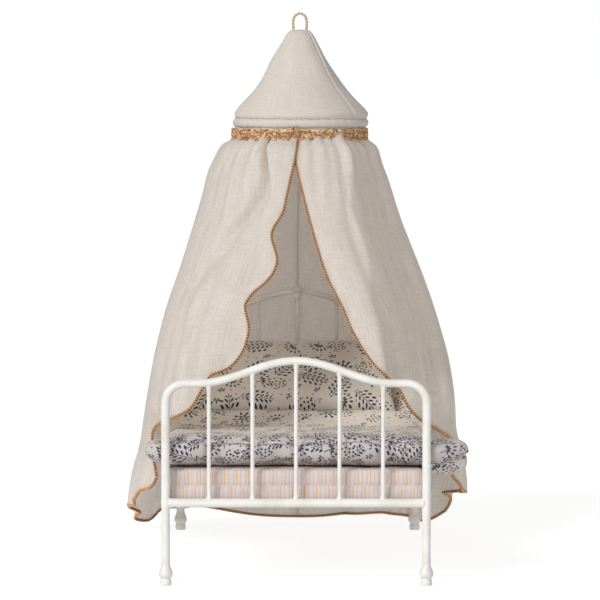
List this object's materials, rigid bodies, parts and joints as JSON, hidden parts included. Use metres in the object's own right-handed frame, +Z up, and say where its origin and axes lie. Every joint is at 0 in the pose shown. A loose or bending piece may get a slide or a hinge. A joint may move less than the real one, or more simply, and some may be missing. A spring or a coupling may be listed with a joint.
{
  "type": "doll's bed with hooped canopy",
  "caption": "Doll-size enamelled tube bed with arched head and footboards, mattress, quilt, pillow and a hooped linen canopy hanging over the head end.",
  "frame": {"origin": "floor point under the middle of the whole object's box", "axes": "+X to the right seen from the foot end, +Y towards the headboard, +Z up"},
  "size_m": [0.168, 0.2257, 0.2636],
  "materials": {
    "white_enamel": "semi-gloss enamel",
    "striped_ticking": "woven stripe",
    "floral_cotton": "printed plain weave",
    "linen_gauze": "open plain weave",
    "gold_thread": "twisted thread",
    "hoop_wire": "drawn wire"
  },
  "bodies": {
    "bed_frame": {"footboard_bow": "white_enamel", "footboard_lower_rail": "white_enamel", "footboard_spindle_1": "white_enamel", "footboard_spindle_2": "white_enamel", "footboard_spindle_3": "white_enamel", "footboard_spindle_4": "white_enamel", "footboard_spindle_5": "white_enamel", "headboard_arch": "white_enamel", "headboard_post_left": "white_enamel", "headboard_post_right": "white_enamel", "headboard_lower_rail": "white_enamel", "headboard_spindle_1": "white_enamel", "headboard_spindle_2": "white_enamel", "headboard_spindle_3": "white_enamel", "headboard_spindle_4": "white_enamel", "headboard_spindle_5": "white_enamel", "headboard_rosette": "white_enamel", "foot_front_left": "white_enamel", "foot_front_right": "white_enamel", "foot_rear_left": "white_enamel", "foot_rear_right": "white_enamel", "side_rail_left": "white_enamel", "side_rail_right": "white_enamel", "cross_wire_1": "white_enamel", "cross_wire_2": "white_enamel", "cross_wire_3": "white_enamel", "cross_wire_4": "white_enamel", "cross_wire_5": "white_enamel", "cross_wire_6": "white_enamel", "cross_wire_7": "white_enamel", "mattress": "striped_ticking", "quilt_head": "floral_cotton"},
    "quilt_foot": {"quilt_foot": "floral_cotton"},
    "pillow": {"pillow": "floral_cotton"},
    "canopy": {"canopy_crown": "linen_gauze", "hoop_channel": "linen_gauze", "canopy_hoop": "hoop_wire", "crochet_band": "gold_thread", "curtain_back": "linen_gauze", "hem_edging": "gold_thread"},
    "left_flap": {"left_flap": "linen_gauze", "left_flap_edging": "gold_thread"},
    "right_flap": {"right_flap": "linen_gauze", "right_flap_edging": "gold_thread"},
    "hanging_loop": {"hanging_loop": "gold_thread"}
  },
  "joints": [
    {"name": "canopy_lift", "type": "slide", "parent": "bed_frame", "child": "canopy", "axis": [0, 0, 1], "range_m": [0, 0.13]},
    {"name": "loop_fold", "type": "hinge", "parent": "canopy", "child": "hanging_loop", "pos_m": [0, 0.052, 0.2558], "axis": [1, 0, 0], "range_deg": [-70, 70]},
    {"name": "left_flap_draw", "type": "hinge", "parent": "canopy", "child": "left_flap", "pos_m": [0, 0.052, 0.2], "axis": [0, 0, -1], "range_deg": [0, 35]},
    {"name": "right_flap_draw", "type": "hinge", "parent": "canopy", "child": "right_flap", "pos_m": [0, 0.052, 0.2], "axis": [0, 0, 1], "range_deg": [0, 35]},
    {"name": "quilt_turn_back", "type": "hinge", "parent": "bed_frame", "child": "quilt_foot", "pos_m": [0, -0.032, 0.062], "axis": [-1, 0, 0], "range_deg": [0, 85]},
    {"name": "pillow_lift", "type": "slide", "parent": "bed_frame", "child": "pillow", "axis": [0, 0, 1], "range_m": [0, 0.03]}
  ]
}
